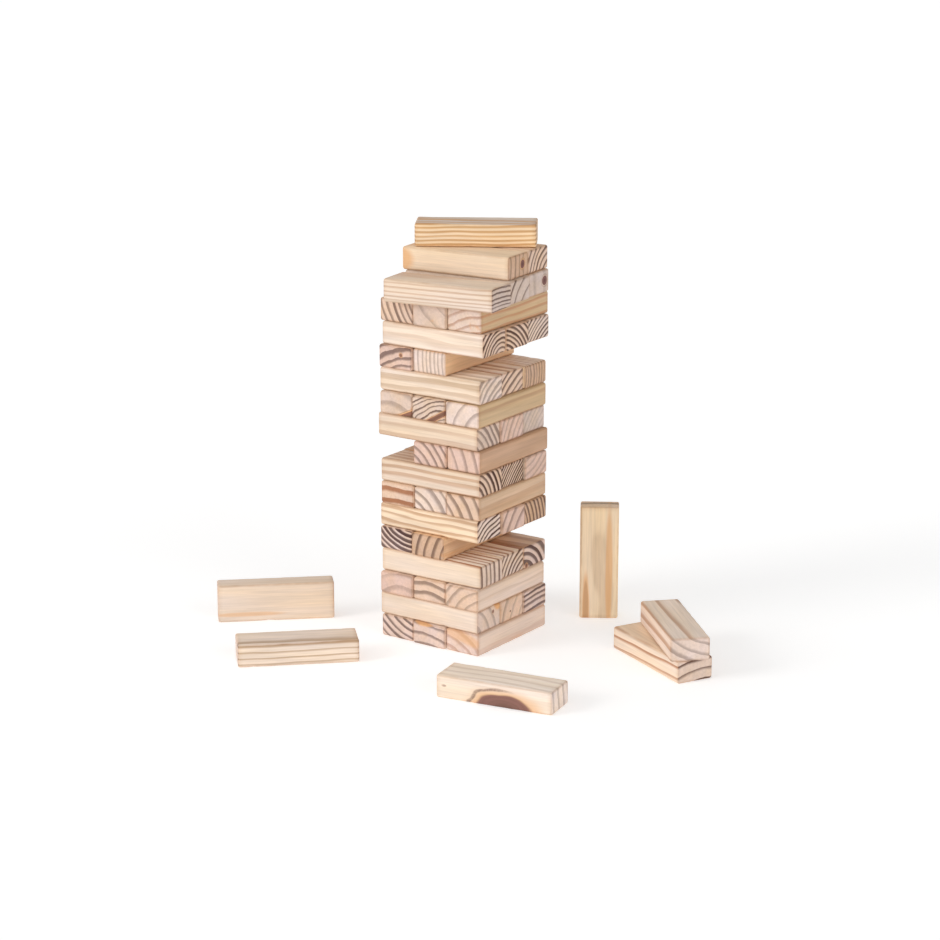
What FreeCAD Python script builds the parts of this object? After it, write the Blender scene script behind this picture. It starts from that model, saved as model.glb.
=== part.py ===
import FreeCAD, Part
import os

# Giant tumbling tower: a set of 54 equal pine blocks, 48 stacked three to a layer
# and six lying loose on the ground around the tower.
# Millimetres, +Z up. The origin is on the ground, under the middle of the tower.
# The tower's first layer lies along Y and the next along X, turn and turn about.

# Driving dimensions of one block and of the stack.
BLOCK_LENGTH = 153.6
PLAY_ACROSS = 0.3
PLAY_BETWEEN_LAYERS = 0.2
SLOT_PITCH = BLOCK_LENGTH / 3
LAYER_PITCH = 30.0
BLOCK_WIDTH = SLOT_PITCH - PLAY_ACROSS
BLOCK_THICKNESS = LAYER_PITCH - PLAY_BETWEEN_LAYERS
LONG_EDGE_RADIUS = 3.0
END_EDGE_BEVEL = 1.2

# Names of the three places in a layer, from the lowest coordinate to the highest.
PLACES_ALONG_Y = ("left", "middle", "right")
PLACES_ALONG_X = ("front", "middle", "back")

# Layers whose blocks lie along Y. All other full layers lie along X.
LAYERS_ALONG_Y = (1, 3, 5, 7, 9, 11, 13, 15)
# Places that the players have emptied, or haven't filled yet.
EMPTY_PLACES = ((5, "right"), (9, "left"), (13, "right"), (17, "front"))

# How each layer has settled: shift along X, shift along Y, turn about Z in degrees.
LAYER_SETTLED = {
    1: (0.0, -1.0, -0.2),
    2: (-1.0, 0.0, -0.3),
    3: (0.0, -2.0, 0.3),
    4: (-0.5, 0.0, 0.8),
    5: (0.0, -3.5, -0.1),
    6: (0.5, 0.0, -0.4),
    7: (0.0, 0.0, 0.5),
    8: (-0.5, 0.0, 0.3),
    9: (0.0, 1.0, -0.1),
    10: (-2.5, 0.0, 0.3),
    11: (0.0, -2.0, 0.5),
    12: (-2.0, 0.0, 0.7),
    13: (0.0, -0.5, 0.0),
    14: (3.5, 0.0, 1.1),
    15: (0.0, 0.5, 1.0),
    16: (11.0, -8.5, 4.2),
    17: (9.0, -8.0, 5.1),
}
# A block that is askew to its own layer, or has been pushed in or out of it, has its own row.
BLOCK_SETTLED = {
    "layer_16_front": (13.5, -13.7, 7.2),
    "layer_16_back": (7.6, -8.5, 4.2),
    "layer_17_middle": (6.5, -8.3, 5.1),
}

# How far the blocks have crept along their own length, repeated through the tower.
CREEP_CYCLE = (0.0, 1.4, -1.0, 0.6, -1.4, 1.0, -0.6)

# The single block on top, laid askew: centre and turn.
TOP_LAYER = 18
TOP_BLOCK = (1.0, 26.0, 31.6)

# Loose blocks: which way up, centre X, centre Y, turn, and what they stand on.
GROUND = 0.0
LOOSE_BLOCKS = {
    "loose_on_edge": ("on_edge", -235.0, -101.0, 42.5, GROUND),
    "loose_flat_left": ("flat", -109.5, -213.0, 43.5, GROUND),
    "loose_flat_front": ("flat", 188.0, -187.0, 10.0, GROUND),
    "loose_upright": ("upright", 111.0, 153.0, 32.0, GROUND),
    "loose_pair_lower": ("flat", 278.0, 39.5, -26.5, GROUND),
    "loose_pair_upper": ("flat", 291.5, 46.5, -44.5, LAYER_PITCH),
}

X_AXIS = FreeCAD.Vector(1, 0, 0)
Y_AXIS = FreeCAD.Vector(0, 1, 0)
Z_AXIS = FreeCAD.Vector(0, 0, 1)
# How a flat block, length along X, is turned to stand another way up, and how high
# its centre then is.
WAYS_UP = {
    "flat": (FreeCAD.Rotation(), BLOCK_THICKNESS / 2),
    "on_edge": (FreeCAD.Rotation(X_AXIS, 90), BLOCK_WIDTH / 2),
    "upright": (
        FreeCAD.Rotation(Z_AXIS, 90) * FreeCAD.Rotation(Y_AXIS, 90),
        BLOCK_LENGTH / 2,
    ),
}


def planed_block():
    """One block about the origin, length along X, its long edges rounded and its ends bevelled."""
    corner = FreeCAD.Vector(-BLOCK_LENGTH / 2, -BLOCK_WIDTH / 2, -BLOCK_THICKNESS / 2)
    plank = Part.makeBox(BLOCK_LENGTH, BLOCK_WIDTH, BLOCK_THICKNESS, corner)
    long_edges = [edge for edge in plank.Edges if edge.BoundBox.XLength > BLOCK_LENGTH / 2]
    rounded = plank.makeFillet(LONG_EDGE_RADIUS, long_edges)
    end_edges = [edge for edge in rounded.Edges if edge.BoundBox.XLength < END_EDGE_BEVEL]
    return rounded.makeChamfer(END_EDGE_BEVEL, end_edges)


def place_in_layer(layer, place):
    """A tower block's centre before its layer settles, and the turn of its length from +X."""
    creep = CREEP_CYCLE[(3 * layer + place) % len(CREEP_CYCLE)]
    across = (place - 1) * SLOT_PITCH
    if layer in LAYERS_ALONG_Y:
        return FreeCAD.Vector(across, creep, 0), 90.0
    return FreeCAD.Vector(creep, across, 0), 0.0


def settle(centre, settled):
    """Turns a centre about the tower's axis, then shifts it."""
    shift_x, shift_y, turn = settled
    return FreeCAD.Rotation(Z_AXIS, turn).multVec(centre) + FreeCAD.Vector(shift_x, shift_y, 0)


def tower_places():
    """The blocks stacked in rows, as name: (way up, centre X, centre Y, turn, base height)."""
    places = {}
    for layer, layer_settled in LAYER_SETTLED.items():
        names = PLACES_ALONG_Y if layer in LAYERS_ALONG_Y else PLACES_ALONG_X
        for place, place_name in enumerate(names):
            if (layer, place_name) in EMPTY_PLACES:
                continue
            name = f"layer_{layer:02d}_{place_name}"
            settled = BLOCK_SETTLED.get(name, layer_settled)
            centre, turn = place_in_layer(layer, place)
            centre = settle(centre, settled)
            base = (layer - 1) * LAYER_PITCH
            places[name] = ("flat", centre.x, centre.y, turn + settled[2], base)
    return places


def all_places():
    """Every block of the set, as name: (way up, centre X, centre Y, turn, base height)."""
    places = tower_places()
    top_x, top_y, top_turn = TOP_BLOCK
    top_base = (TOP_LAYER - 1) * LAYER_PITCH
    places[f"layer_{TOP_LAYER}_top"] = ("flat", top_x, top_y, top_turn, top_base)
    places.update(LOOSE_BLOCKS)
    return places


def put(block, way_up, x, y, turn, base):
    """A copy of the block, the given way up, with its underside at the base height."""
    tipped, centre_height = WAYS_UP[way_up]
    copy = block.copy()
    centre = FreeCAD.Vector(x, y, base + centre_height)
    copy.Placement = FreeCAD.Placement(centre, FreeCAD.Rotation(Z_AXIS, turn) * tipped)
    return copy


def main():
    os.makedirs("parts", exist_ok=True)
    block = planed_block()
    for name, place in all_places().items():
        put(block, *place).exportStep(f"parts/{name}.step")
    print(len(all_places()), "blocks written")


main()
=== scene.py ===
import math
import random
from dataclasses import dataclass

import bpy
import numpy as np
from mathutils import Matrix, Vector


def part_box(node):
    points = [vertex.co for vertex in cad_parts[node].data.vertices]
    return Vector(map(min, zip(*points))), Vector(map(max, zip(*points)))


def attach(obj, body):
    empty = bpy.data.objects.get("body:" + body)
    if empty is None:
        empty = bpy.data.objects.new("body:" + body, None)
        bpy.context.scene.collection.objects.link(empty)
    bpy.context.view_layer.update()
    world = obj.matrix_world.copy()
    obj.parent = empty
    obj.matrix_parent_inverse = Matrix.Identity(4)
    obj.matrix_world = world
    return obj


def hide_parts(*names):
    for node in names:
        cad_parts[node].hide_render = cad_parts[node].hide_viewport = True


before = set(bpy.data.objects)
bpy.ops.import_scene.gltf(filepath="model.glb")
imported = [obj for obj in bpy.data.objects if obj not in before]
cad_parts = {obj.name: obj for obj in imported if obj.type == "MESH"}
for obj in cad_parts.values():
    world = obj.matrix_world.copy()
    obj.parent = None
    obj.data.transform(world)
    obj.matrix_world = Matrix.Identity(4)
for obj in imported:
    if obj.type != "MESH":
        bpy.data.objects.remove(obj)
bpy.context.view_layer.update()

MM = 0.001

# ---------------------------------------------------------------- block shape, in millimetres
EDGE_RADIUS = 3.1          # rounding of the long edges, a little more than the CAD fillet
EDGE_UNEVEN = 0.5          # how much the hand sanding varies it
END_ROUNDING = 2.3         # rounding round the sawn ends
END_ROUNDING_SPREAD = 0.2
FACE_HOLLOW = 0.05         # planed faces are this far from flat
CAP_INSET = 0.8            # a narrow band round each end face
STATIONS = 34              # cross sections between the two rounded ends
ARC_STEPS = 6              # steps round each long edge
END_STEPS = 3              # steps round each end
WIDE_CUTS = 5              # cuts across the wide faces
NARROW_CUTS = 3            # cuts across the narrow faces
DENTS_PER_BLOCK = 5
DENT_DEPTH = (0.6, 2.0)    # how much more a dent rounds its edge, from and to
DENT_REACH = (3, 7)        # how far it reaches along the edge
WAVE_PACE = (0.02, 0.05)   # turns per millimetre of a long edge's unevenness
HOLLOW_PACE = 0.05         # radians per millimetre of the hollow faces
SMALLEST_RADIUS = 0.6      # least rounding that the corners of an inset ring keep
SQUARE_DOT = 0.1           # faces whose normals' dot product is below this are square
EDGE_NEARNESS_GAIN = 2           # how soon a point near an edge counts as fully on it
MARKS_PER_BLOCK = 2        # a block without so many has blank ones
START_SPREAD = 100         # how far apart blocks may lie in the noises, cycles
PITH_DRIFT = 0.02          # most that the pith leans, mm to each mm of length
FIRST_SEED = 1000          # each block's knocks are drawn from a seed of its own

# ---------------------------------------------------------------- wood colours
# sRGB colours of bare pine.
SIDE_EARLY = (238, 216, 195)
END_EARLY = (230, 205, 188)
RESIN = (216, 150, 84)
KNOT_HEART = (134, 88, 86)
KNOT_RIM = (90, 58, 54)
KNOT_HALO = (230, 174, 116)
# Edge darkening: partly grime, partly painted shade for the dark seams between blocks.
EDGE_GRIME_AND_SHADE = (0.66, 0.48, 0.32)

# Tints multiply the wood's own colour: heartwood, sapwood and ageing, and some painted light and
# shade as well: darker tints on sides that lie in shade, lighter ones on faces that should catch
# more light.
TINTS = {
    "cream": (1.00, 1.00, 1.00),
    "wheat": (0.94, 0.92, 0.89),
    "bright": (1.08, 1.05, 0.96),
    "honey": (1.15, 1.08, 0.88),
    "glowing": (1.14, 1.12, 0.98),
    "peach": (1.00, 0.93, 0.86),
    "pink": (0.96, 0.87, 0.86),
    "rose": (0.98, 0.96, 1.00),
    "white": (1.05, 1.07, 1.10),
    "pale": (1.18, 1.27, 1.36),
    "grey": (0.84, 0.86, 0.90),
    "tan": (0.82, 0.70, 0.58),
    "umber": (0.68, 0.52, 0.41),
    "olive": (0.74, 0.64, 0.47),
    "orange": (1.00, 0.82, 0.62),
}
# Colours of the dark late part of the rings: on the sides, and on the sawn ends.
LATE_WOOD = {
    "brown": ((178, 122, 76), (82, 52, 40)),
    "purple": ((172, 120, 86), (80, 52, 48)),
    "rust": ((172, 108, 62), (92, 61, 48)),
    "red": ((188, 116, 70), (160, 98, 58)),
    "gold": ((206, 150, 88), (132, 96, 66)),
    "grey": ((184, 148, 112), (110, 86, 74)),
}


@dataclass
class Wood:
    """How one block was cut from the tree, as seen on its end towards -Y or +X."""

    towards: float             # direction to the tree's centre, degrees: 0 right, 90 up
    distance: float            # how far away the centre is, mm
    gap: float                 # ring width, mm
    end: float = 0.8           # ring contrast on the ends
    side: float = 0.4          # ring contrast on the sides
    wobble: float = 1.0        # how far the rings wander, mm
    late: float = 0.42         # dark share of each ring
    tint: str = "cream"
    rings: str = "brown"
    resin: float = 0.1         # orange streaking
    marks: tuple = ()          # knots and resin stains
    end_tint: str = ""         # the tint of the ends, where it isn't that of the sides
    top_painted_light: str = ""         # a tint of the upper wide face, where it isn't that of the sides: painted light that lightens tops lying in shade, or greys one as a painted sheen


@dataclass
class Mark:
    """A knot or a resin stain: a branch running through the block."""

    at: tuple                  # from the block's centre along length, width, thickness, mm
    way: tuple = (1, 0, 0)     # the way it runs
    radius: float = 4.0
    stretch: float = 1.0       # how much longer it is along the block
    heart: float = 1.0         # dark knot wood
    halo: float = 0.6          # orange stain round it


# Half a block's length, width and thickness, to place marks on its faces, mm.
END = 76.8
SIDE = 25.4
FACE = 14.9
# The blocks' tints are partly their own colour and partly painted light and shade: the olive, umber
# and tan sides of the right-hand blocks are painted shade, and the white and pale tints of the
# loose blocks are painted light.
BLOCKS = {
    "layer_01_left": Wood(60, 90, 8.5, 0.8, 0.4, 1.2, 0.42, "rose", "purple", 0.0),
    "layer_01_middle": Wood(-94, 90, 13.0, 0.65, 0.4, 2.4, 0.3, "rose", "purple", 0.2,
                            (Mark((-END, 4, FACE), (0.3, 1, -0.1), 3, 1, 0.0, 0.8),)),
    "layer_01_right": Wood(-120, 70, 14.0, 0.5, 0.25, 1.6, 0.4, "rose", "red", 0.4,
                           (Mark((-END, 6, 10), (0.2, 1, 0.3), 6, 1, 0.0, 0.5),)),
    "layer_02_front": Wood(-150, 60, 18.0, 0.4, 0.08, 0.8, 0.3, "cream", "purple", 0.0,
                           (Mark((END, 20, 15), (1, 0, 0), 6, 1, 0.0, 0.9),
                            Mark((END, 9, 7), (1, 0.2, 0.3), 2.2, 1, 0.8, 0.4))),
    "layer_02_middle": Wood(-30, 60, 20.0, 0.45, 0.3, 2.0, 0.25, "peach", "grey", 0.1,
                            (Mark((END, -4, -3), (1, 0.1, 0.1), 1.2, 1, 0.9, 0.2),)),
    "layer_02_back": Wood(-84, 260, 7.4, 0.9, 0.5, 0.9, 0.5, "rose", "purple", 0.2),
    "layer_03_left": Wood(-80, 60, 15.0, 0.35, 0.3, 2.0, 0.3, "pink", "grey", 0.1),
    "layer_03_middle": Wood(-92, 120, 13.0, 0.75, 0.3, 1.6, 0.45, "peach", "brown", 0.0),
    "layer_03_right": Wood(-48, 60, 12.0, 0.5, 0.3, 1.4, 0.3, "rose", "grey", 0.4,
                           end_tint="peach"),
    "layer_04_front": Wood(182, 196, 9.4, 0.85, 0.95, 0.8, 0.40, "cream", "rust", 0.25,
                           top_painted_light="pale"),
    "layer_04_middle": Wood(-46, 48, 7.4, 0.95, 0.95, 0.8, 0.46, "honey", "rust", 0.5,
                            end_tint="cream", top_painted_light="pale"),
    "layer_04_back": Wood(-128, 46, 11.0, 1.0, 0.7, 0.8, 0.56, "peach", "purple", 0.4,
                          (Mark((END, -20, -11), (1, 0, 0.2), 3.0, 1, 0.9, 0.8),), "rose"),
    "layer_05_left": Wood(66, 60, 6.9, 1.0, 0.4, 0.8, 0.68, "rose", "purple", 0.0),
    "layer_05_middle": Wood(-16, 80, 12.0, 0.8, 0.4, 0.8, 0.36, "orange", "brown", 0.5,
                            end_tint="tan"),
    "layer_06_front": Wood(-64, 70, 6.2, 1.0, 0.62, 2.4, 0.42, "bright", "brown", 0.1,
                           end_tint="white"),
    "layer_06_middle": Wood(-38, 100, 15.0, 0.6, 0.3, 1.0, 0.35, "pink", "purple", 0.1),
    "layer_06_back": Wood(198, 70, 7.4, 0.85, 0.4, 0.8, 0.5, "tan", "purple", 0.2),
    "layer_07_left": Wood(-92, 120, 13.0, 0.9, 0.4, 1.4, 0.46, "peach", "red", 0.3),
    "layer_07_middle": Wood(225, 60, 12.0, 0.65, 0.3, 0.9, 0.42, "white", "brown", 0.1),
    "layer_07_right": Wood(212, 80, 13.0, 0.7, 0.4, 0.8, 0.4, "tan", "brown", 0.1,
                           end_tint="peach"),
    "layer_08_front": Wood(212, 60, 8.0, 1.0, 0.55, 1.2, 0.5, "wheat", "brown", 0.4,
                           end_tint="peach"),
    "layer_08_middle": Wood(-44, 160, 4.4, 1.0, 0.4, 0.3, 0.6, "tan", "brown", 0.0,
                            end_tint="peach"),
    "layer_08_back": Wood(120, 90, 9.0, 0.3, 0.2, 1.0, 0.4, "grey", "purple", 0.0,
                          end_tint="pink"),
    "layer_09_middle": Wood(222, 56, 10.0, 0.7, 0.4, 0.8, 0.4, "pink", "purple", 0.1),
    "layer_09_right": Wood(200, 80, 14.0, 0.5, 0.3, 0.8, 0.3, "umber", "purple", 0.2,
                           end_tint="pink"),
    "layer_10_front": Wood(216, 60, 9.0, 0.65, 0.35, 1.2, 0.46, "wheat", "purple", 0.25),
    "layer_10_middle": Wood(-30, 80, 9.5, 0.38, 0.3, 1.0, 0.4, "pink", "purple", 0.1),
    "layer_10_back": Wood(-42, 90, 7.0, 0.25, 0.2, 1.0, 0.4, "grey", "grey", 0.0),
    "layer_11_left": Wood(-100, 60, 16.0, 0.35, 0.3, 1.0, 0.3, "wheat", "brown", 0.4,
                          (Mark((-END, -22, -14), (0, 0.9, -0.4), 6.0, 1, 0.9, 1.0),)),
    "layer_11_middle": Wood(-62, 60, 6.0, 0.85, 0.4, 2.4, 0.36, "wheat", "brown", 0.2,
                            (Mark((-END, -14, -8), (0, -0.87, 0.5), 3.0, 1, 0.9, 0.9),)),
    "layer_11_right": Wood(-36, 42, 17.0, 0.5, 0.5, 1.0, 0.26, "olive", "purple", 0.2,
                           end_tint="white"),
    "layer_12_front": Wood(-55, 60, 8.4, 0.58, 0.55, 2.0, 0.5, "cream", "grey", 0.3,
                           end_tint="white", top_painted_light="pale"),
    "layer_12_middle": Wood(-56, 110, 8.6, 0.85, 0.7, 1.0, 0.4, "honey", "rust", 0.3,
                            end_tint="peach", top_painted_light="pale"),
    "layer_12_back": Wood(178, 80, 6.0, 0.5, 0.6, 1.8, 0.5, "glowing", "rust", 0.2, end_tint="tan",
                          top_painted_light="pale"),
    "layer_13_left": Wood(-74, 70, 10.0, 0.75, 0.3, 2.6, 0.42, "pink", "purple", 0.2,
                          (Mark((-END, -9, 4), (1, 0.1, 0.2), 2.4, 1, 0.8, 0.8),)),
    "layer_13_middle": Wood(2, 150, 6.2, 0.45, 0.3, 0.4, 0.4, "orange", "grey", 0.2,
                            end_tint="white"),
    "layer_14_front": Wood(-58, 29, 6.0, 0.95, 0.2, 1.4, 0.5, "white", "brown", 0.0,
                           end_tint="peach"),
    "layer_14_middle": Wood(-128, 60, 6.2, 1.0, 0.4, 0.8, 0.55, "peach", "brown", 0.0),
    "layer_14_back": Wood(-54, 90, 5.6, 0.95, 0.4, 0.6, 0.46, "cream", "purple", 0.0),
    "layer_15_left": Wood(22, 72, 8.6, 0.75, 0.4, 0.8, 0.46, "peach", "brown", 0.0),
    "layer_15_middle": Wood(48, 90, 19.0, 0.4, 0.3, 1.2, 0.2, "wheat", "grey", 0.4),
    "layer_15_right": Wood(-72, 100, 9.5, 0.55, 0.6, 2.0, 0.35, "olive", "red", 0.6,
                           end_tint="cream"),
    "layer_16_front": Wood(-92, 300, 5.2, 0.85, 0.45, 0.9, 0.40, "cream", "brown", 0.1,
                           end_tint="grey"),
    "layer_16_middle": Wood(-41, 70, 15.0, 0.85, 0.4, 1.0, 0.22, "grey", "brown", 0.1),
    "layer_16_back": Wood(4, 120, 22.0, 0.25, 0.4, 1.0, 0.35, "tan", "purple", 0.3,
                          (Mark((END, 14, 1), (1, 0.1, 0), 6.0, 1, 1.0, 0.2),), "grey"),
    "layer_17_middle": Wood(180, 60, 11.0, 0.5, 0.12, 1.0, 0.3, "bright", "brown", 0.1,
                            (Mark((END, 11, 1), (1, 0.05, 0.5), 5.0, 1, 1.0, 0.7),
                             Mark((-END, -8, 0), (0.2, 1, 0.1), 12, 1.2, 0.0, 0.75)), "tan"),
    "layer_17_back": Wood(-40, 50, 8.0, 0.9, 0.4, 0.8, 0.42, "peach", "brown", 0.1),
    "layer_18_top": Wood(-75, 72, 4.4, 0.8, 0.8, 1.0, 0.5, "honey", "gold", 0.3, top_painted_light="grey"),
    "loose_on_edge": Wood(-90, 90, 24.0, 0.4, 0.1, 1.4, 0.3, "cream", "grey", 0.1,
                          (Mark((-38, 15, -FACE), (0, 0, 1), 2.2, 16, 0.0, 0.5),)),
    "loose_flat_left": Wood(-84, 133.5, 8.0, 0.8, 0.8, 1.0, 0.3, "white", "grey", 0.0),
    "loose_flat_front": Wood(2, 110, 15.0, 0.4, 0.3, 1.4, 0.3, "white", "grey", 0.1,
                             (Mark((14, -SIDE, -16), (0, 1, 0), 17.5, 2.0, 0.95, 0.7),
                              Mark((-66, -SIDE, 2), (0, 1, 0), 1.3, 2.0, 0.5, 0.2)), "pale",
                              top_painted_light="pale"),
    "loose_upright": Wood(-88, 90, 24.0, 0.6, 0.35, 1.6, 0.3, "glowing", "grey", 0.3,
                          (Mark((-66, -17, -FACE), (0, 0, 1), 3.4, 11, 0.25, 0.8),
                           Mark((-10, 13, -FACE), (0, 0, 1), 3.4, 18, 0.0, 0.7))),
    "loose_pair_lower": Wood(-80, 117, 13.0, 0.95, 0.85, 1.4, 0.26, "cream", "rust", 0.2,
                             top_painted_light="bright"),
    "loose_pair_upper": Wood(64, 80, 12.0, 0.5, 0.75, 1.2, 0.35, "rose", "brown", 0.3,
                             end_tint="white", top_painted_light="white"),
}


def linear(colour):
    """An sRGB colour of 0 to 255 as linear RGB."""
    parts = [c / 255 for c in colour]
    return tuple(c / 12.92 if c <= 0.04045 else ((c + 0.055) / 1.055) ** 2.4 for c in parts)


def opaque(colour):
    return linear(colour) + (1.0,)


# ---------------------------------------------------------------- blocks
def positive(axis):
    """The axis turned round, if need be, so that its largest part is positive."""
    largest = max(range(3), key=lambda i: abs(axis[i]))
    return axis if axis[largest] > 0 else -axis


def block_axes(node):
    """A block's centre, and unit vectors along its length, width and thickness."""
    faces = sorted(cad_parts[node].data.polygons, key=lambda face: face.area, reverse=True)
    thick = faces[0].normal.copy()
    wide = next(f.normal.copy() for f in faces if abs(f.normal.dot(thick)) < SQUARE_DOT)
    thick, length = positive(thick), positive(wide.cross(thick))
    low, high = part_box(node)
    width = thick.cross(length).normalized()
    return (low + high) / 2, length.normalized(), width, thick.normalized()


def corner_ring(half_width, half_thick, inset, radii):
    """Points round a rounded rectangle, as many for any inset and radii."""
    cuts = (WIDE_CUTS, NARROW_CUTS, WIDE_CUTS, NARROW_CUTS)
    wide, thick = half_width - inset, half_thick - inset
    arcs = []
    for corner, (sign_y, sign_z) in enumerate(((1, 1), (-1, 1), (-1, -1), (1, -1))):
        radius = max(radii[corner] - inset, SMALLEST_RADIUS)
        middle_y, middle_z = sign_y * (wide - radius), sign_z * (thick - radius)
        angles = [math.radians(90 * (corner + step / ARC_STEPS)) for step in range(ARC_STEPS + 1)]
        arc = [(middle_y + radius * math.cos(a), middle_z + radius * math.sin(a)) for a in angles]
        arcs.append(arc)
    points = []
    for corner in range(4):
        points += arcs[corner]
        (y0, z0), (y1, z1) = arcs[corner][-1], arcs[(corner + 1) % 4][0]
        shares = [cut / (cuts[corner] + 1) for cut in range(1, cuts[corner] + 1)]
        points += [(y0 + (y1 - y0) * share, z0 + (z1 - z0) * share) for share in shares]
    return points


def edge_share(point, size):
    """1 on a block's edges, 0 on its faces."""
    near = sorted(max(0.0, 1 - (s / 2 - abs(p)) / EDGE_RADIUS) for p, s in zip(point, size))
    return min(1.0, near[1] * EDGE_NEARNESS_GAIN)


def block_points(size, dice):
    """Rings of points along a planed block: sanded long edges, softened ends, a few knocks."""
    half_length, half_width, half_thick = (s / 2 for s in size)
    dents = [
        (
            dice.randrange(4),
            dice.uniform(-half_length, half_length),
            dice.uniform(*DENT_DEPTH),
            dice.uniform(*DENT_REACH),
        )
        for _ in range(DENTS_PER_BLOCK)
    ]
    waves = [(dice.uniform(0, math.tau), dice.uniform(*WAVE_PACE)) for _ in range(4)]
    spread = END_ROUNDING_SPREAD
    softness = [END_ROUNDING + dice.uniform(-spread, spread) for _ in range(2)]

    def radii(x):
        result = []
        for corner, (phase, pace) in enumerate(waves):
            radius = EDGE_RADIUS + EDGE_UNEVEN * (0.5 + 0.5 * math.sin(phase + pace * x * math.tau))
            for where, centre, depth, reach in dents:
                if where == corner:
                    radius += depth * math.exp(-(((x - centre) / reach) ** 2))
            result.append(radius)
        return result

    def end_rows(sign, soft):
        """The cap's rim, then the quarter turn round the end."""
        turns = [math.radians(90 * step / END_STEPS) for step in range(END_STEPS + 1)]
        rows = [(sign * half_length, soft + CAP_INSET)]
        for a in turns:
            rows.append((sign * (half_length - soft * (1 - math.cos(a))), soft * (1 - math.sin(a))))
        return rows

    inner = half_length - max(softness)
    middle = [(-inner + 2 * inner * (i + 1) / (STATIONS + 1), 0.0) for i in range(STATIONS)]
    rows = end_rows(-1, softness[0]) + middle + end_rows(1, softness[1])[::-1]
    rings = []
    for x, inset in rows:
        hollow = FACE_HOLLOW * (0.5 + 0.5 * math.sin(x * HOLLOW_PACE + waves[0][0]))
        section = corner_ring(half_width, half_thick, inset + hollow, radii(x))
        rings.append([(x, y, z) for y, z in section])
    return rings


def build_block(node, number, material):
    """The detailed block that stands for a CAD block."""
    dice = random.Random(FIRST_SEED + number)
    centre, length, width, thick = block_axes(node)
    corners = [v.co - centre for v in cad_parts[node].data.vertices]
    size = [2 * max(abs(c.dot(axis)) for c in corners) / MM for axis in (length, width, thick)]
    rings = block_points(size, dice)

    count = len(rings[0])
    local = [p for ring in rings for p in ring]
    faces = []
    for row in range(len(rings) - 1):
        for i in range(count):
            j = (i + 1) % count
            near, far = row * count, (row + 1) * count
            faces.append((near + i, near + j, far + j, far + i))
    faces.append(tuple(reversed(range(count))))
    faces.append(tuple((len(rings) - 1) * count + i for i in range(count)))

    place = Matrix.Translation(centre) @ Matrix((length, width, thick)).transposed().to_4x4()
    mesh = bpy.data.meshes.new("block_" + node)
    mesh.from_pydata([place @ (Vector(p) * MM) for p in local], [], faces)
    mesh.shade_smooth()
    grain = mesh.attributes.new("grain", "FLOAT_VECTOR", "POINT")
    grain.data.foreach_set("vector", np.array(local, np.float32).ravel())
    # Closeness to an edge: it makes worn edges smoother and drives the edge darkening, which is
    # partly painted shade.
    edge_nearness = mesh.attributes.new("edge_nearness", "FLOAT", "POINT")
    edge_nearness.data.foreach_set("value", [edge_share(p, size) for p in local])
    mesh.materials.append(material)

    block = bpy.data.objects.new("block_" + node, mesh)
    bpy.context.scene.collection.objects.link(block)
    give_grain(block, BLOCKS[node], length, dice)
    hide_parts(node)
    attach(block, node)


def give_grain(block, wood, length, dice):
    """Writes how a block was cut as properties that its material reads."""
    # The end is seen from -Y or from +X: right is -width on the first, +width on the second.
    mirrored = -1 if abs(length.y) > abs(length.x) else 1
    angle = math.radians(wood.towards)
    pith_across, pith_up = mirrored * math.cos(angle), math.sin(angle)
    block["pith"] = [0.0, wood.distance * pith_across, wood.distance * pith_up]
    block["drift"] = [
        dice.uniform(0, START_SPREAD),
        dice.uniform(-PITH_DRIFT, PITH_DRIFT),
        dice.uniform(-PITH_DRIFT, PITH_DRIFT),
    ]
    block["rings"] = [wood.gap, wood.end, wood.side]
    block["figure"] = [wood.wobble, wood.resin, wood.late]
    block["tint"] = list(TINTS[wood.tint])
    block["end_tint"] = list(TINTS[wood.end_tint or wood.tint])
    block["top_painted_light"] = list(TINTS[wood.top_painted_light or wood.tint])
    on_side, on_end = LATE_WOOD[wood.rings]
    block["late_side"] = list(linear(on_side))
    block["late_end"] = list(linear(on_end))
    marks = list(wood.marks) + [Mark((0, 0, 0), heart=0.0, halo=0.0)] * MARKS_PER_BLOCK
    for index in range(MARKS_PER_BLOCK):
        mark = marks[index]
        block["mark%d_at" % index] = [float(v) for v in mark.at]
        block["mark%d_way" % index] = list(Vector(mark.way).normalized())
        block["mark%d_size" % index] = [mark.radius, 1 / mark.stretch, 0.0]
        block["mark%d_look" % index] = [mark.heart, mark.halo, 0.0]


# ---------------------------------------------------------------- the pine material
# Lengths are in mm. A pace is a noise's cycles per mm along the grain and across it, and a third
# number scales the block's own shift in that noise. MARK_UNEVEN_PACE and PORE_PACE are cycles
# per mm along the block's length, width and thickness. Other pairs are from and to.
NEARLY_E = 2.718
SHIFT_ACROSS, SHIFT_UP = 1.7, 0.6
SWAY_PACE, SWAY = (0.012, 0.03), 4.0
SHIVER_PACE, SHIVER = (0.02, 0.12), 1.1
KNOT_BULGE, KNOT_BULGE_FALL = 0.8, -0.35
YEAR_PACE, YEAR_UNEVEN = 0.45, 0.8
LATE_START, LATE_START_SPREAD, LATE_RISE = 0.90, 0.10, 0.30
LATE_FALL = (0.94, 1.0)
LATE_DEPTH = (0.8, 1.0)
END_FADE = (END - 1.5, END - 0.5)
TOP_FADE = (FACE - 1.5, FACE - 0.3)
FIBRE_PACE, FIBRE_DETAIL, FIBRE_ROUGHNESS = (0.02, 0.9), 4.0, 0.65
PORE_PACE, PORE_DETAIL, PORE_ROUGHNESS = (0.3, 1.1, 1.1), 3.0, 0.7
BAND_PACE, PATCH_PACE, WARMTH_PACE = (0.012, 0.30, 1.5), (0.010, 0.045, 2.0), (0.007, 0.05, 3.0)
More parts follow.
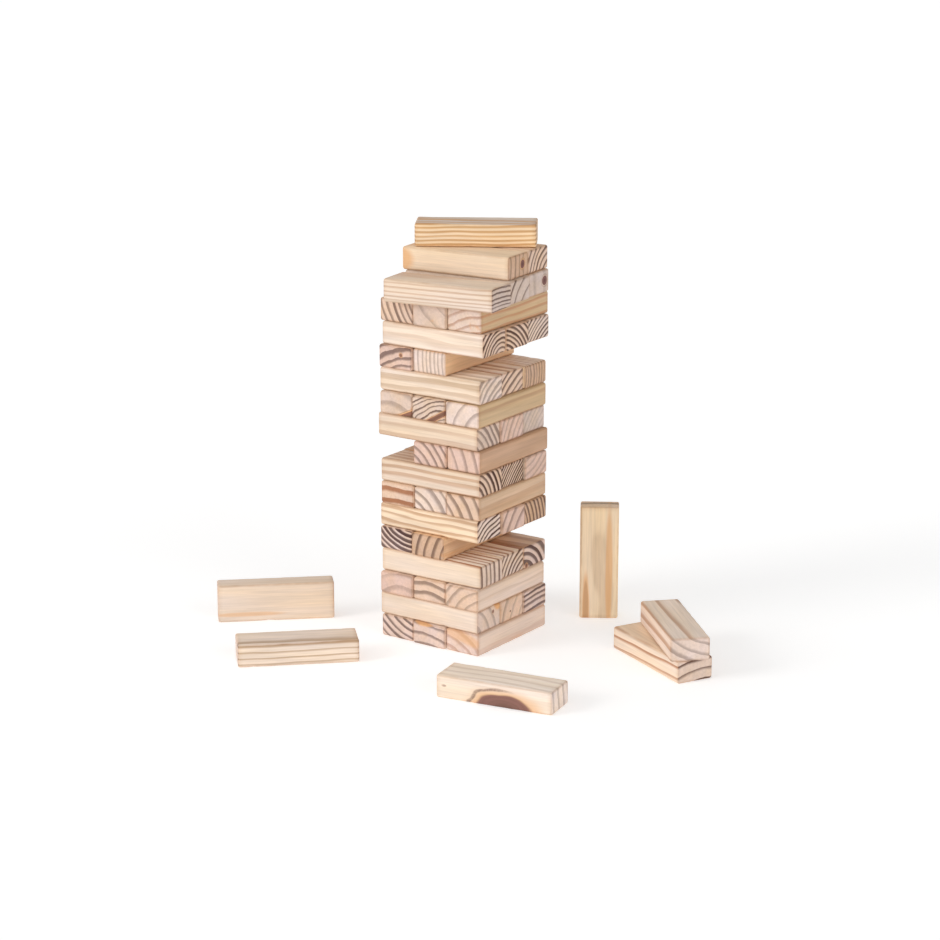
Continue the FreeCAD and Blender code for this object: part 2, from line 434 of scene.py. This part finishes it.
TEXTURE_SHADE, BAND_SHADE, PATCH_SHADE = (0.80, 1.16), (0.84, 1.14), (0.84, 1.13)
WARM_GREEN, WARM_BLUE = (1.05, 0.95), (1.18, 0.81)
STREAK_PACE, STREAK_SHOW = (0.010, 0.085, 3.0), 0.9
STREAK_FROM, STREAK_TO = (0.74, 0.50), (0.90, 0.72)
DUCT_PACE, DUCT_FADE, DUCT_SHOW = (0.05, 0.75), (0.70, 0.80), 0.18
MARK_UNEVEN_PACE, MARK_UNEVEN = (0.03, 0.08, 0.08), 0.30
STAIN_FADE = (0.9, 1.75)
OUTLINE_RISE, OUTLINE_FALL, OUTLINE_SIDE = (1.24, 1.32), (1.38, 1.48), (-0.4, 0.6)
OUTLINE_BREAKS, OUTLINE_SHOW = (0.75, 1.0), 0.7
SPECK_SCALE, SPECK_FADE = 0.35, (0.35, 0.60)
HEART_WAVES, HEART_FEWEST_WAVES, HEART_SHADE = 1.4, 5.0, (0.3, 0.75)
HEART_CENTRE, HEART_FADE, HEART_SHOW = (0.0, 0.8), (0.94, 1.12), 0.95
# Noise scale and strength of the edge darkening: grime and painted seam shade.
GRIME_AND_SHADE_SCALE, GRIME_AND_SHADE_SPAN = 0.08, (0.08, 0.66)
ROUGH_SIDE, ROUGH_END, ROUGH_WORN = (0.64, 0.50), 0.80, 0.08
SAW_PITCH, SAW_LEAN = 4.2, 0.35
BUMP_OF_RINGS, BUMP_OF_TEXTURE, BUMP_OF_SAW = 0.5, 0.6, 0.1
BUMP_STRENGTH, BUMP_DEPTH = 0.4, 0.0004
SHINE = 0.3


class Graph:
    """A short way to write a material's nodes."""

    def __init__(self, tree):
        self.tree = tree

    def node(self, kind, inputs=(), **settings):
        made = self.tree.nodes.new(kind)
        for key, value in settings.items():
            setattr(made, key, value)
        for slot, value in dict(inputs).items():
            self.feed(made.inputs[slot], value)
        return made

    def feed(self, socket, value):
        if isinstance(value, bpy.types.NodeSocket):
            self.tree.links.new(value, socket)
        else:
            socket.default_value = value

    def math(self, operation, a, b=0.0):
        return self.node("ShaderNodeMath", {0: a, 1: b}, operation=operation).outputs[0]

    def add(self, *values):
        total = values[0]
        for value in values[1:]:
            total = self.math("ADD", total, value)
        return total

    def times(self, *values):
        product = values[0]
        for value in values[1:]:
            product = self.math("MULTIPLY", product, value)
        return product

    def less(self, a, b):
        return self.math("SUBTRACT", a, b)

    def over(self, a, b):
        return self.math("DIVIDE", a, b)

    def vector(self, operation, a, b=(0, 0, 0), out="Vector"):
        return self.node("ShaderNodeVectorMath", {0: a, 1: b}, operation=operation).outputs[out]

    def scaled(self, a, factor):
        made = self.node("ShaderNodeVectorMath", {0: a, "Scale": factor}, operation="SCALE")
        return made.outputs["Vector"]

    def step(self, value, low, high):
        """0 below low, 1 above high, smooth between."""
        inputs = {"Value": value, "From Min": low, "From Max": high}
        made = self.node("ShaderNodeMapRange", inputs, interpolation_type="SMOOTHSTEP")
        return made.outputs["Result"]

    def span(self, value, low, high):
        """A 0 to 1 value spread over low to high."""
        inputs = {"Value": value, "To Min": low, "To Max": high}
        return self.node("ShaderNodeMapRange", inputs).outputs["Result"]

    def blend(self, factor, a, b, kind="MIX"):
        made = self.node("ShaderNodeMix", data_type="RGBA", blend_type=kind)
        for slot, value in ((0, factor), (6, a), (7, b)):
            self.feed(made.inputs[slot], value)
        return made.outputs[2]

    def between(self, factor, a, b):
        return self.node("ShaderNodeMix", {0: factor, 2: a, 3: b}).outputs[0]

    def parts(self, vector):
        return self.node("ShaderNodeSeparateXYZ", {0: vector}).outputs[0:3]

    def joined(self, x, y, z):
        return self.node("ShaderNodeCombineXYZ", {0: x, 1: y, 2: z}).outputs[0]

    def noise(self, place, detail=2.0, roughness=0.5):
        inputs = {"Vector": place, "Scale": 1.0, "Detail": detail, "Roughness": roughness}
        return self.node("ShaderNodeTexNoise", inputs).outputs["Fac"]

    def centred(self, place, detail=2.0):
        return self.less(self.noise(place, detail), 0.5)

    def read(self, name, kind="OBJECT", out="Vector"):
        made = self.node("ShaderNodeAttribute", attribute_name=name, attribute_type=kind)
        return made.outputs[out]


def mark_layers(g, grain, index):
    """One knot or stain: how many radii out a point is, its radius, lean, heart and halo."""
    radius, squeeze, _ = g.parts(g.read("mark%d_size" % index))
    heart, halo, _ = g.parts(g.read("mark%d_look" % index))
    way = g.read("mark%d_way" % index)
    offset = g.vector("SUBTRACT", grain, g.read("mark%d_at" % index))
    offset = g.vector("MULTIPLY", offset, g.joined(squeeze, 1.0, 1.0))
    run = g.vector("DOT_PRODUCT", offset, way, out="Value")
    across = g.vector("LENGTH", g.vector("SUBTRACT", offset, g.scaled(way, run)), out="Value")
    ratio = g.over(across, radius)
    uneven = g.centred(g.vector("MULTIPLY", grain, MARK_UNEVEN_PACE), 1.0)
    ratio = g.times(ratio, g.add(1.0, g.times(uneven, MARK_UNEVEN)))
    lean = g.over(g.parts(offset)[0], radius)
    return ratio, radius, lean, heart, halo


def pine(name):
    """Bare planed pine: growth rings about each block's own pith, fibres, resin, knots."""
    material = bpy.data.materials.new(name)
    material.use_nodes = True
    tree = material.node_tree
    g = Graph(tree)
    shader = tree.nodes["Principled BSDF"]

    grain = g.read("grain", "GEOMETRY")
    along, across, up = g.parts(grain)
    start, drift_across, drift_up = g.parts(g.read("drift"))
    gap, on_end, on_side = g.parts(g.read("rings"))
    wobble, resin, late_share = g.parts(g.read("figure"))
    _, pith_across, pith_up = g.parts(g.read("pith"))
    shift = g.joined(start, g.times(start, SHIFT_ACROSS), g.times(start, SHIFT_UP))
    marks = [mark_layers(g, grain, index) for index in range(MARKS_PER_BLOCK)]

    def stretched(by_length, by_section, shift_scale=1.0):
        """Block coordinates for a noise that runs along the grain."""
        place = g.vector("MULTIPLY", grain, (by_length, by_section, by_section))
        return g.vector("ADD", place, g.scaled(shift, shift_scale))

    # Growth rings: distance from the pith, which drifts along the block and wanders.
    sway = g.times(g.centred(stretched(*SWAY_PACE), 1.0), wobble, SWAY)
    shiver = g.times(g.centred(stretched(*SHIVER_PACE)), wobble, SHIVER)
    off_across = g.less(g.less(across, pith_across), g.times(along, drift_across))
    off_up = g.less(g.less(up, pith_up), g.times(along, drift_up))
    distance = g.vector("LENGTH", g.joined(0.0, off_across, off_up), out="Value")
    distance = g.add(distance, sway, shiver)
    for ratio, radius, lean, heart, halo in marks:
        bulge = g.math("POWER", NEARLY_E, g.times(ratio, ratio, KNOT_BULGE_FALL))
        distance = g.add(distance, g.times(bulge, radius, heart, KNOT_BULGE))
    count = g.over(distance, gap)
    uneven = g.centred(g.joined(g.times(count, YEAR_PACE), start, 0.0), 1.0)
    count = g.add(count, g.times(uneven, YEAR_UNEVEN))
    phase = g.math("FRACT", count)
    year = g.joined(g.math("FLOOR", count), start, 0.0)
    year = g.node("ShaderNodeTexWhiteNoise", {"Vector": year}).outputs["Value"]
    turn_dark = g.less(g.less(LATE_START, late_share), g.times(year, LATE_START_SPREAD))
    rise = g.step(phase, turn_dark, g.add(turn_dark, LATE_RISE))
    late = g.times(rise, g.less(1.0, g.step(phase, *LATE_FALL)))
    late = g.times(late, g.span(year, *LATE_DEPTH))

    # Sides and sawn ends take the rings differently.
    end = g.step(g.math("ABSOLUTE", along), *END_FADE)
    contrast = g.between(end, on_side, on_end)
    early_colour = g.blend(end, opaque(SIDE_EARLY), opaque(END_EARLY))
    late_colour = g.blend(end, g.read("late_side"), g.read("late_end"))
    top = g.step(up, *TOP_FADE)
    # The upper wide face may take its own tint: painted light on tops lying in shade, and a grey
    # painted sheen on the top block.
    tint = g.blend(top, g.read("tint"), g.read("top_painted_light"))
    tint = g.blend(end, tint, g.read("end_tint"))
    colour = g.blend(1.0, early_colour, tint, "MULTIPLY")
    colour = g.blend(g.times(late, contrast), colour, late_colour)

    # Fibres run along the block; on the ends they are open pores.
    fibre = g.noise(stretched(*FIBRE_PACE), FIBRE_DETAIL, FIBRE_ROUGHNESS)
    pore = g.noise(g.vector("MULTIPLY", grain, PORE_PACE), PORE_DETAIL, PORE_ROUGHNESS)
    texture = g.between(end, fibre, pore)
    bands = g.noise(stretched(*BAND_PACE), 2.0)
    patches = g.noise(stretched(*PATCH_PACE), 2.0)
    shade = g.times(
        g.span(texture, *TEXTURE_SHADE), g.span(bands, *BAND_SHADE), g.span(patches, *PATCH_SHADE)
    )
    colour = g.blend(1.0, colour, g.joined(shade, shade, shade), "MULTIPLY")
    warmth = g.noise(stretched(*WARMTH_PACE), 1.0)
    warm = g.joined(1.0, g.span(warmth, *WARM_GREEN), g.span(warmth, *WARM_BLUE))
    colour = g.blend(1.0, colour, warm, "MULTIPLY")

    # Resin: long orange streaks, and short dark ducts.
    streak = g.noise(stretched(*STREAK_PACE), 2.0)
    streak = g.step(streak, g.span(resin, *STREAK_FROM), g.span(resin, *STREAK_TO))
    colour = g.blend(g.times(streak, resin, STREAK_SHOW), colour, opaque(RESIN))
    duct = g.step(g.noise(stretched(*DUCT_PACE), 1.0), *DUCT_FADE)
    colour = g.blend(g.times(duct, DUCT_SHOW), colour, g.read("late_side"))

    # Knots and stains: orange wood round a dark heart, with a broken dark line at the outside.
    speck = g.step(g.noise(g.scaled(grain, SPECK_SCALE), 2.0), *SPECK_FADE)
    for ratio, radius, lean, heart, halo in marks:
        stain = g.times(g.less(1.0, g.step(ratio, *STAIN_FADE)), halo)
        colour = g.blend(stain, colour, opaque(KNOT_HALO))
        line = g.times(g.step(ratio, *OUTLINE_RISE), g.less(1.0, g.step(ratio, *OUTLINE_FALL)))
        one_side = g.less(1.0, g.step(lean, *OUTLINE_SIDE))
        line = g.times(line, one_side, g.span(speck, *OUTLINE_BREAKS))
        colour = g.blend(g.times(line, heart, OUTLINE_SHOW), colour, opaque(KNOT_RIM))
        pace = g.math("MAXIMUM", g.times(radius, HEART_WAVES), HEART_FEWEST_WAVES)
        waves = g.span(g.times(g.math("SINE", g.times(ratio, pace)), 0.5), *HEART_SHADE)
        core = g.blend(waves, opaque(KNOT_HEART), opaque(KNOT_RIM))
        core = g.blend(g.step(ratio, *HEART_CENTRE), opaque(KNOT_RIM), core)
        inside = g.less(1.0, g.step(ratio, *HEART_FADE))
        colour = g.blend(g.times(inside, heart, HEART_SHOW), colour, core)

    # Edges are darkened: partly a touch of grime, partly painted shade standing in for the dark
    # seams between blocks.
    edge_nearness = g.read("edge_nearness", "GEOMETRY", "Fac")
    grimy_and_shaded = g.blend(1.0, colour, EDGE_GRIME_AND_SHADE + (1.0,), "MULTIPLY")
    grime_and_shade = g.times(edge_nearness, g.span(g.noise(g.scaled(grain, GRIME_AND_SHADE_SCALE), 2.0), *GRIME_AND_SHADE_SPAN))
    colour = g.blend(grime_and_shade, colour, grimy_and_shaded)
    tree.links.new(colour, shader.inputs["Base Color"])

    rough = g.between(end, g.span(late, *ROUGH_SIDE), ROUGH_END)
    rough = g.less(rough, g.times(edge_nearness, ROUGH_WORN))
    tree.links.new(rough, shader.inputs["Roughness"])

    saw = g.math("SINE", g.times(g.add(across, g.times(up, SAW_LEAN)), SAW_PITCH))
    height = g.add(
        g.times(late, BUMP_OF_RINGS),
        g.times(texture, BUMP_OF_TEXTURE),
        g.times(end, saw, BUMP_OF_SAW),
    )
    bump_inputs = {"Height": height, "Strength": BUMP_STRENGTH, "Distance": BUMP_DEPTH}
    bump = g.node("ShaderNodeBump", bump_inputs)
    tree.links.new(bump.outputs["Normal"], shader.inputs["Normal"])
    shader.inputs["Specular IOR Level"].default_value = SHINE
    return material


# ---------------------------------------------------------------- studio
AZIMUTH = math.radians(35.05)
ELEVATION = math.radians(15.68)
CAMERA_DISTANCE = 3.436
AIM = Vector((0.0185, -0.0133, 0.2238))
FOCAL_LENGTH = 102.7
SENSOR_WIDTH = 36
FARTHEST = 100
FLOOR_COLOUR = (0.80, 0.80, 0.80, 1)
FLOOR_ROUGHNESS = 0.95
FLOOR_SPOKES = 96
# The floor's section, as radius and height: flat, then swept up to hide the horizon.
FLOOR_SECTION = ((24.0, 0.0), (26.0, 0.15), (28.0, 0.65), (30.0, 1.6), (32.0, 3.4), (33.0, 5.6))
# Soft lights: name, azimuth, elevation and spread in degrees, strength, colour.
LIGHTS = (
    ("key", -30, 24, 24, 0.92, (1.0, 0.99, 0.97)),
    ("fill", 78, 28, 34, 0.47, (1.0, 1.0, 1.0)),
)
FLOOR_GLOW = 0.41
SKY_MEAN = 0.68
SKY_LEAN = 0.34
SKY_FROM = (-0.62, -0.78, -0.50)


def looking(azimuth, elevation):
    """The direction from the object to a viewer: azimuth 0 is at -Y, positive towards +X."""
    return Vector((
        math.sin(azimuth) * math.cos(elevation),
        -math.cos(azimuth) * math.cos(elevation),
        math.sin(elevation),
    ))


def add_camera():
    data = bpy.data.cameras.new("camera")
    data.lens = FOCAL_LENGTH
    data.sensor_width = SENSOR_WIDTH
    data.clip_end = FARTHEST
    camera = bpy.data.objects.new("camera", data)
    back = looking(AZIMUTH, ELEVATION)
    camera.location = AIM + back * CAMERA_DISTANCE
    camera.rotation_euler = back.to_track_quat("Z", "Y").to_euler()
    bpy.context.scene.collection.objects.link(camera)
    bpy.context.scene.camera = camera


def add_floor():
    material = bpy.data.materials.new("studio_floor")
    material.use_nodes = True
    shader = material.node_tree.nodes["Principled BSDF"]
    shader.inputs["Base Color"].default_value = FLOOR_COLOUR
    shader.inputs["Roughness"].default_value = FLOOR_ROUGHNESS
    shader.inputs["Specular IOR Level"].default_value = 0.0
    shader.inputs["Emission Color"].default_value = (1, 1, 1, 1)
    shader.inputs["Emission Strength"].default_value = FLOOR_GLOW
    turns = [math.tau * spoke / FLOOR_SPOKES for spoke in range(FLOOR_SPOKES)]
    points = [
        (radius * math.cos(a), radius * math.sin(a), height)
        for radius, height in FLOOR_SECTION
        for a in turns
    ]
    faces = [tuple(range(FLOOR_SPOKES))]
    for row in range(len(FLOOR_SECTION) - 1):
        inner, outer = row * FLOOR_SPOKES, (row + 1) * FLOOR_SPOKES
        for i in range(FLOOR_SPOKES):
            j = (i + 1) % FLOOR_SPOKES
            faces.append((inner + i, outer + i, outer + j, inner + j))
    mesh = bpy.data.meshes.new("floor")
    mesh.from_pydata(points, [], faces)
    mesh.materials.append(material)
    floor = bpy.data.objects.new("floor", mesh)
    bpy.context.scene.collection.objects.link(floor)


def add_soft_light(name, azimuth, elevation, spread, strength, colour):
    """A far, broad light, so that the floor is lit evenly."""
    data = bpy.data.lights.new(name, "SUN")
    data.angle = math.radians(spread)
    data.energy = strength
    data.color = colour
    light = bpy.data.objects.new(name, data)
    back = looking(math.radians(azimuth), math.radians(elevation))
    light.rotation_euler = back.to_track_quat("Z", "Y").to_euler()
    bpy.context.scene.collection.objects.link(light)


def add_world():
    """A pale studio that is brighter on the left and in front."""
    world = bpy.data.worlds.new("studio")
    world.use_nodes = True
    g = Graph(world.node_tree)
    background = world.node_tree.nodes["Background"]
    direction = g.node("ShaderNodeTexCoord").outputs["Generated"]
    lean = g.vector("DOT_PRODUCT", direction, SKY_FROM, out="Value")
    strength = g.add(SKY_MEAN, g.times(lean, SKY_LEAN))
    g.feed(background.inputs["Strength"], strength)
    g.feed(background.inputs["Color"], (1, 1, 1, 1))
    bpy.context.scene.world = world


def main():
    bpy.context.scene.view_settings.view_transform = "Standard"
    add_camera()
    add_world()
    add_floor()
    for light in LIGHTS:
        add_soft_light(*light)
    material = pine("bare_pine")
    for number, node in enumerate(sorted(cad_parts)):
        build_block(node, number, material)


main()
